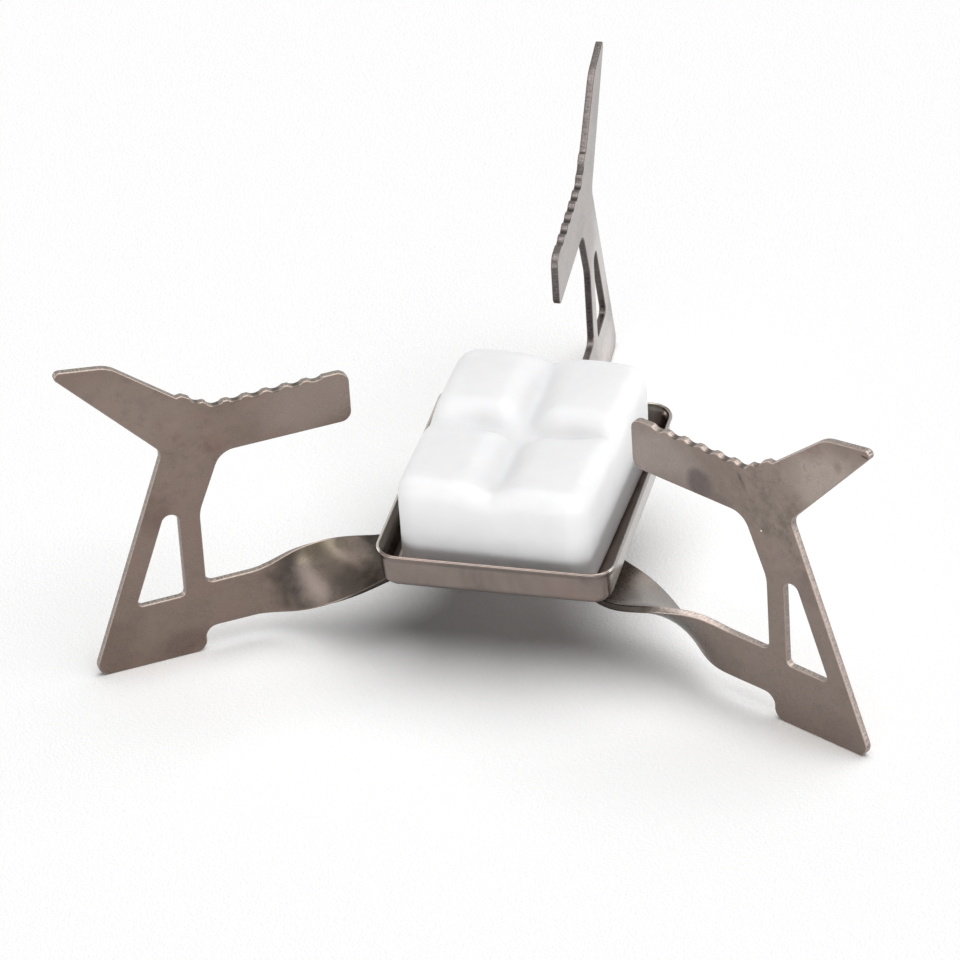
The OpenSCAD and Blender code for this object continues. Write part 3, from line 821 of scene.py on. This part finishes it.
def tray_mesh():
    """The wall's section carried round the corners and sides, the dish turned round the rivet's axis, and
    the floor's two faces between them."""
    section = tray_section()
    side = np.array([TRAY_W/2 - CORNER_R, TRAY_L/2 - CORNER_R])
    around = []
    signs = ((1, 1), (-1, 1), (-1, -1), (1, -1))
    for k in range(4):
        centre, following = side*signs[k], side*signs[(k + 1) % 4]
        for i in range(CORNER_STEPS + 1):
            t = math.radians(90*k + 90*i/CORNER_STEPS)
            around.append((centre, np.array([math.cos(t), math.sin(t)])))
        for f in np.linspace(0, 1, SIDE_STEPS + 1)[1:-1]:
            around.append((centre + (following - centre)*f, np.array([math.cos(t), math.sin(t)])))
    n, m = len(around), len(section)
    verts = [(*(c + d*p[0]), p[1]) for p in section for c, d in around]
    faces = [(k*n + i, k*n + (i + 1) % n, (k + 1)*n + (i + 1) % n, (k + 1)*n + i)
             for k in range(m - 1) for i in range(n)]

    rim = DISH_R + DISH_SLOPE
    dish = rounded([
        (rim + DISH_RIM, 0, 0), (rim, 0, DISH_BEND_R), (DISH_R, -DISH_H, DISH_BEND_R), (HOLE_R, -DISH_H, 0),
        (HOLE_R, TRAY_T - DISH_H, 0), (DISH_R, TRAY_T - DISH_H, DISH_BEND_R), (rim, TRAY_T, DISH_BEND_R),
        (rim + DISH_RIM, TRAY_T, 0)
    ], closed=False)
    base = len(verts)
    ring = [(math.cos(2*math.pi*i/TURNS), math.sin(2*math.pi*i/TURNS)) for i in range(TURNS)]
    verts += [(p[0]*c, p[0]*s, p[1]) for p in dish for c, s in ring]
    for k in range(len(dish) - 1):
        a, b = base + k*TURNS, base + (k + 1)*TURNS
        faces += [(a + i, b + i, b + (i + 1) % TURNS, a + (i + 1) % TURNS) for i in range(TURNS)]

    last = base + (len(dish) - 1)*TURNS
    for outer_base, inner_base, flip in ((0, base, True), ((m - 1)*n, last, False)):
        outer = np.array([verts[outer_base + i][:2] for i in range(n)])
        inner = np.array([verts[inner_base + i][:2] for i in range(TURNS)])
        _, tri = fill([outer, inner])
        for f in tri:
            g = [outer_base + i if i < n else inner_base + i - n for i in f]
            faces.append(tuple(g[::-1] if flip else g))
    return np.array(verts) + (*HUB, TRAY_Z), faces


tray_verts, tray_faces = tray_mesh()
tray = make_object("tray_pan", tray_verts, tray_faces, [tray_surface])
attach(tray, "tray")
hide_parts("tray")


# Rivet and washers
def turned(name, profile, z, body, node):
    """A turned piece round the rivet's axis, from a section given as (radius, height) and counterclockwise.
    The section is closed, or begins and ends on the axis."""
    on_axis = [abs(p[0]) < 1e-9 for p in profile]
    verts, index = [], []
    for p, axis in zip(profile, on_axis):
        index.append(len(verts))
        for i in range(1 if axis else TURNS):
            t = 2*math.pi*i/TURNS
            verts.append((HUB[0] + p[0]*math.cos(t), HUB[1] + p[0]*math.sin(t), z + p[1]))
    faces = []
    n = len(profile)
    closed = not (on_axis[0] and on_axis[-1])
    for a in range(n if closed else n - 1):
        b = (a + 1) % n
        for i in range(TURNS):
            j = (i + 1) % TURNS
            pa = [index[a]] if on_axis[a] else [index[a] + i, index[a] + j]
            pb = [index[b]] if on_axis[b] else [index[b] + j, index[b] + i]
            faces.append(tuple(pa + pb))
    obj = make_object(name, verts, faces, [steel_surface])
    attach(obj, body)
    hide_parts(node)


RIVET_R, HEAD_R, HEAD_H = 1.5, 3.0, 1.1
HEAD_BEVEL, SHANK_FLARE, SHANK_BEVEL = 0.06, 0.02, 0.05
DOME_STEPS = 11
TAIL_R, TAIL_T = 2.5, 0.55
LOW_WASHER_R, LOW_WASHER_T = 3.9, 0.4
TRAY_WASHER_R, TRAY_WASHER_T = 3.3, 0.3
WASHER_BEVEL = 0.08

# The rivet's flattened tail, as (radius from TAIL_R, height above its lower face), and the dimple in its
# top, as (radius, depth)
TAIL_SECTION = [(-0.12, 0.0), (0.0, 0.15), (-0.03, 0.3), (-0.25, TAIL_T - 0.08), (-0.7, TAIL_T)]
TAIL_DIMPLE = [(0.9, 0.0), (0.6, 0.12), (0.0, 0.15)]
head_top_z = EAR_LOW_Z - RUN_GAP - LOW_WASHER_T
dish_floor_z = TRAY_Z - DISH_H + TRAY_T
dome_r = (HEAD_R**2 + HEAD_H**2)/(2*HEAD_H)
dome = [(dome_r*math.sin(t), dome_r - HEAD_H - dome_r*math.cos(t))
        for t in np.linspace(0, math.asin(HEAD_R/dome_r), DOME_STEPS + 1)]
shank_h = dish_floor_z + TRAY_WASHER_T + TAIL_T - head_top_z
tail_z = shank_h - TAIL_T
shank = [(HEAD_R - HEAD_BEVEL, 0.0), (RIVET_R + SHANK_FLARE, 0.0), (RIVET_R, SHANK_BEVEL), (RIVET_R, tail_z)]
tail = [(TAIL_R + r, tail_z + h) for r, h in TAIL_SECTION]
dimple = [(r, shank_h - depth) for r, depth in TAIL_DIMPLE]
turned("pivot_rivet_turned", dome + shank + tail + dimple, head_top_z, "tray", "pivot_rivet")


def washer_profile(r, t):
    b = WASHER_BEVEL
    return [(HOLE_R, b), (HOLE_R + b, 0), (r - b, 0), (r, b), (r, t - b), (r - b, t), (HOLE_R + b, t),
            (HOLE_R, t - b)]


low_washer = washer_profile(LOW_WASHER_R, LOW_WASHER_T)
turned("lower_washer_turned", low_washer, head_top_z, "tray", "lower_washer")
tray_washer = washer_profile(TRAY_WASHER_R, TRAY_WASHER_T)
turned("tray_washer_turned", tray_washer, dish_floor_z, "tray", "tray_washer")

# Fuel block
BLOCK_W, BLOCK_L, BLOCK_H = 27.2, 36.0, 15.0
BLOCK_CORNER_R, BLOCK_EDGE_R, BLOCK_FOOT_R = 3.2, 2.6, 0.55
BLOCK_CROWN = 0.35
GROOVE_H, GROOVE_W, GROOVE_FLOOR, GROOVE_SHAPE = 2.7, 4.4, 0.35, 1.6
GROOVE_RUN_OUT, GROOVE_END = 8.0, 0.3
BLOCK_Z = TRAY_Z + TRAY_T + 0.05
BLOCK_TURN = -2.0
BLOCK_GRID, GRID_CROWDING = 72, 1.5

# Heights of the rows down the block's side, as shares, and the angles of those round its foot
SIDE_ROWS = [*np.linspace(0.92, 0.08, 14), 0.03, 0.0]
FOOT_ROWS = (30, 60, 90)

# Unevenness of a pressed and handled tablet: (depth, frequency per mm), above the height where it starts
UNEVEN, UNEVEN_FROM_Z = ((0.05, 0.35), (0.02, 1.1)), 1.0


def block_height(x, y):
    """Height of the tablet's top: four pillows round a cross of grooves that run out towards the sides."""
    ax, ay = np.abs(x), np.abs(y)
    inner = np.where((ax < GROOVE_W) & (ay < GROOVE_W),
                     GROOVE_W - np.hypot(GROOVE_W - ax, GROOVE_W - ay), np.minimum(ax, ay))
    k = np.clip(np.sqrt(np.maximum(inner, 0)**2 + GROOVE_FLOOR**2)/GROOVE_W, 0, 1)
    w2, l2, c = BLOCK_W/2, BLOCK_L/2, BLOCK_CORNER_R
    ex, ey = np.maximum(ax - (w2 - c), 0), np.maximum(ay - (l2 - c), 0)
    gap = np.where((ex > 0) & (ey > 0), c - np.hypot(ex, ey), np.minimum(w2 - ax, l2 - ay))
    g = np.clip(gap, 0, BLOCK_EDGE_R)
    groove = GROOVE_H*(1 - k)**GROOVE_SHAPE*(GROOVE_END + (1 - GROOVE_END)*ease(gap/GROOVE_RUN_OUT))
    edge = BLOCK_EDGE_R - np.sqrt(np.maximum(BLOCK_EDGE_R**2 - (BLOCK_EDGE_R - g)**2, 0))
    crown = BLOCK_CROWN*((ax - w2/2)/(w2/2))**2 + BLOCK_CROWN*((ay - l2/2)/(l2/2))**2
    return BLOCK_H - groove - crown - edge


def grid_line(size):
    """Places across the block, closer together towards its sides."""
    t = np.linspace(-1, 1, BLOCK_GRID + 1)
    return size/2*np.sign(t)*(1 - (1 - np.abs(t))**GRID_CROWDING)


def block_mesh():
    """The top as a grid drawn in round the corners, rows down the side and round the foot, and the base."""
    n, m = BLOCK_GRID, BLOCK_GRID + 1
    gx, gy = np.meshgrid(grid_line(BLOCK_W), grid_line(BLOCK_L))
    w2, l2, c = BLOCK_W/2, BLOCK_L/2, BLOCK_CORNER_R
    dx, dy = np.abs(gx) - (w2 - c), np.abs(gy) - (l2 - c)
    both = (dx > 0) & (dy > 0)
    k = np.where(both, np.maximum(dx, dy)/np.maximum(np.hypot(dx, dy), 1e-9), 1.0)
    px = np.where(both, np.sign(gx)*(w2 - c + dx*k), gx).ravel()
    py = np.where(both, np.sign(gy)*(l2 - c + dy*k), gy).ravel()
    pz = block_height(px, py)
    verts = list(zip(px, py, pz))
    faces = [(j*m + i, j*m + i + 1, (j + 1)*m + i + 1, (j + 1)*m + i) for j in range(n) for i in range(n)]

    rim = [*range(n), *(j*m + n for j in range(n)), *(n*m + i for i in range(n, 0, -1)),
           *(j*m for j in range(n, 0, -1))]
    count = len(rim)
    x, y, z = px[rim], py[rim], pz[rim]
    below = [(x, y, BLOCK_FOOT_R + (z - BLOCK_FOOT_R)*share) for share in SIDE_ROWS]
    for a in np.radians(FOOT_ROWS):
        inward = BLOCK_FOOT_R*(1 - math.cos(a))
        below.append((x*(1 - inward/w2), y*(1 - inward/l2), np.full(count, BLOCK_FOOT_R*(1 - math.sin(a)))))
    rows = [rim]
    for row in below:
        rows.append(list(range(len(verts), len(verts) + count)))
        verts += zip(*row)
    for a, b in zip(rows, rows[1:]):
        faces += [(a[i], b[i], b[(i + 1) % count], a[(i + 1) % count]) for i in range(count)]
    faces.append(tuple(rows[-1][::-1]))

    v = np.array(verts)
    for i, (x, y, z) in enumerate(v):
        if z > UNEVEN_FROM_Z:
            d = sum(depth*noise.noise(Vector((x, y, z))*frequency) for depth, frequency in UNEVEN)
            v[i] = (x + d*x/w2, y + d*y/l2, z + 0.5*d)
    t = math.radians(BLOCK_TURN)
    turn = np.array([(math.cos(t), math.sin(t)), (-math.sin(t), math.cos(t))])
    return np.column_stack([v[:, :2] @ turn + HUB, v[:, 2] + BLOCK_Z]), faces


block_verts, block_faces = block_mesh()
block = make_object("fuel_block_tablet", block_verts, block_faces, [fuel_surface])
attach(block, "fuel_block")
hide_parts("fuel_block")

# Camera
# Fitted to the photograph: its angles, its lens, and its place from the rivet's axis at the ground
AZIMUTH, ELEVATION, ROLL = math.radians(15.54), math.radians(34.60), math.radians(3.81)
SENSOR, LENS, CLIP_END = 36.0, 281.25, 50.0
CAMERA_PLACE = Vector((221.8, -821.1, 605.7))
side_x, side_y = math.cos(AZIMUTH), math.sin(AZIMUTH)
flat, steep = math.cos(ELEVATION), math.sin(ELEVATION)
right = Vector((side_x, side_y, 0))
up = Vector((-side_y*steep, side_x*steep, flat))
back = Vector((side_y*flat, -side_x*flat, steep))
cam_x = right*math.cos(ROLL) - up*math.sin(ROLL)
cam_y = right*math.sin(ROLL) + up*math.cos(ROLL)
camera_data = bpy.data.cameras.new("camera")
camera_data.sensor_width = SENSOR
camera_data.lens = LENS
camera_data.clip_end = CLIP_END
camera = bpy.data.objects.new("camera", camera_data)
camera.matrix_world = (Matrix.Translation((Vector((*HUB, 0)) + CAMERA_PLACE)*MM)
                       @ Matrix((cam_x, cam_y, back)).transposed().to_4x4())
bpy.context.scene.collection.objects.link(camera)
bpy.context.scene.camera = camera

# Floor, world and lights
FLOOR = 3.0
PAPER_GRAIN, PAPER_TONES = 2400, (0.97, 1.0)
PAPER_BUMP, PAPER_DEPTH = 0.6, 0.3
FLOOR_GLOW = 0.06
WORLD_LIGHT, WORLD_SHOWN = 0.03, 1.0


def seen_directly(tree):
    """1 for rays from the camera, and for those that metal reflects or glass lets through. They show a
    white background, which lights nothing else."""
    path = tree.nodes.new("ShaderNodeLightPath")
    seen = path.outputs["Is Camera Ray"]
    for ray in ("Is Glossy Ray", "Is Transmission Ray"):
        either = tree.nodes.new("ShaderNodeMath")
        either.operation = "MAXIMUM"
        tree.links.new(seen, either.inputs[0])
        tree.links.new(path.outputs[ray], either.inputs[1])
        seen = either.outputs[0]
    return seen


def paper_material():
    """White paper with a fine grain, which glows a little where it is seen."""
    m = Nodes("floor_paper")
    m.tree.nodes.remove(m.shader)
    grain = m.noise(m.place(), PAPER_GRAIN, roughness=0.5)
    diffuse, glow, both = m.new("BsdfDiffuse"), m.new("Emission"), m.new("AddShader")
    m.link(m.spread(grain, (0.3, 0.7), PAPER_TONES), diffuse.inputs["Color"])
    m.link(m.bump(grain, PAPER_BUMP, PAPER_DEPTH), diffuse.inputs["Normal"])
    glow.inputs["Color"].default_value = (1, 1, 1, 1)
    m.link(m.times(seen_directly(m.tree), FLOOR_GLOW), glow.inputs["Strength"])
    m.link(diffuse.outputs[0], both.inputs[0])
    m.link(glow.outputs[0], both.inputs[1])
    m.link(both.outputs[0], m.tree.nodes["Material Output"].inputs["Surface"])
    return m.material


floor_mesh = bpy.data.meshes.new("floor")
floor_mesh.from_pydata([(-FLOOR, -FLOOR, 0), (FLOOR, -FLOOR, 0), (FLOOR, FLOOR, 0), (-FLOOR, FLOOR, 0)], [],
                       [(0, 1, 2, 3)])
floor_mesh.materials.append(paper_material())
floor = bpy.data.objects.new("floor", floor_mesh)
bpy.context.scene.collection.objects.link(floor)

world = bpy.data.worlds.new("studio")
bpy.context.scene.world = world
world.use_nodes = True
tree = world.node_tree
tree.nodes.clear()
mix = tree.nodes.new("ShaderNodeMixShader")
tree.links.new(seen_directly(tree), mix.inputs["Fac"])
for socket, strength in ((1, WORLD_LIGHT), (2, WORLD_SHOWN)):
    background = tree.nodes.new("ShaderNodeBackground")
    background.inputs["Color"].default_value = (1, 1, 1, 1)
    background.inputs["Strength"].default_value = strength
    tree.links.new(background.outputs[0], mix.inputs[socket])
tree.links.new(mix.outputs[0], tree.nodes.new("ShaderNodeOutputWorld").inputs["Surface"])

# The overhead light, broad and soft, and where it shines
SUN_ENERGY, SUN_ANGLE, SUN_TRAVEL = 3.0, 72.0, (-0.22, -0.06, -1.0)

# Low fills, which all aim at one point: (name, place, size, power)
FILL_AIM = (0, 0, 0.02)
FILLS = [
    ("fill_front", (-0.30, -1.25, 0.14), (1.5, 0.5), 11.0),
    ("fill_right", (1.20, -0.30, 0.14), (1.1, 0.5), 8.0),
    ("fill_left", (-1.20, 0.10, 0.14), (1.1, 0.5), 4.0),
]


def add_light(name, kind, travel):
    """A new light that shines along travel."""
    data = bpy.data.lights.new(name, kind)
    obj = bpy.data.objects.new(name, data)
    obj.rotation_euler = Vector(travel).to_track_quat("-Z", "Y").to_euler()
    bpy.context.scene.collection.objects.link(obj)
    return obj


sun = add_light("overhead_softbox", "SUN", SUN_TRAVEL)
sun.data.energy = SUN_ENERGY
sun.data.angle = math.radians(SUN_ANGLE)

# The fills light the object and leave the floor to the overhead light, so its shadow stays
lit_by_fills = bpy.data.collections.new("lit_by_fills")
for obj in bpy.context.scene.objects:
    if obj.type == "MESH" and obj is not floor:
        lit_by_fills.objects.link(obj)
for name, place, size, power in FILLS:
    light = add_light(name, "AREA", Vector(FILL_AIM) - Vector(place))
    light.location = place
    light.data.shape = "RECTANGLE"
    light.data.size, light.data.size_y = size
    light.data.energy = power
    light.light_linking.receiver_collection = lit_by_fills

bpy.context.scene.view_settings.view_transform = "Standard"
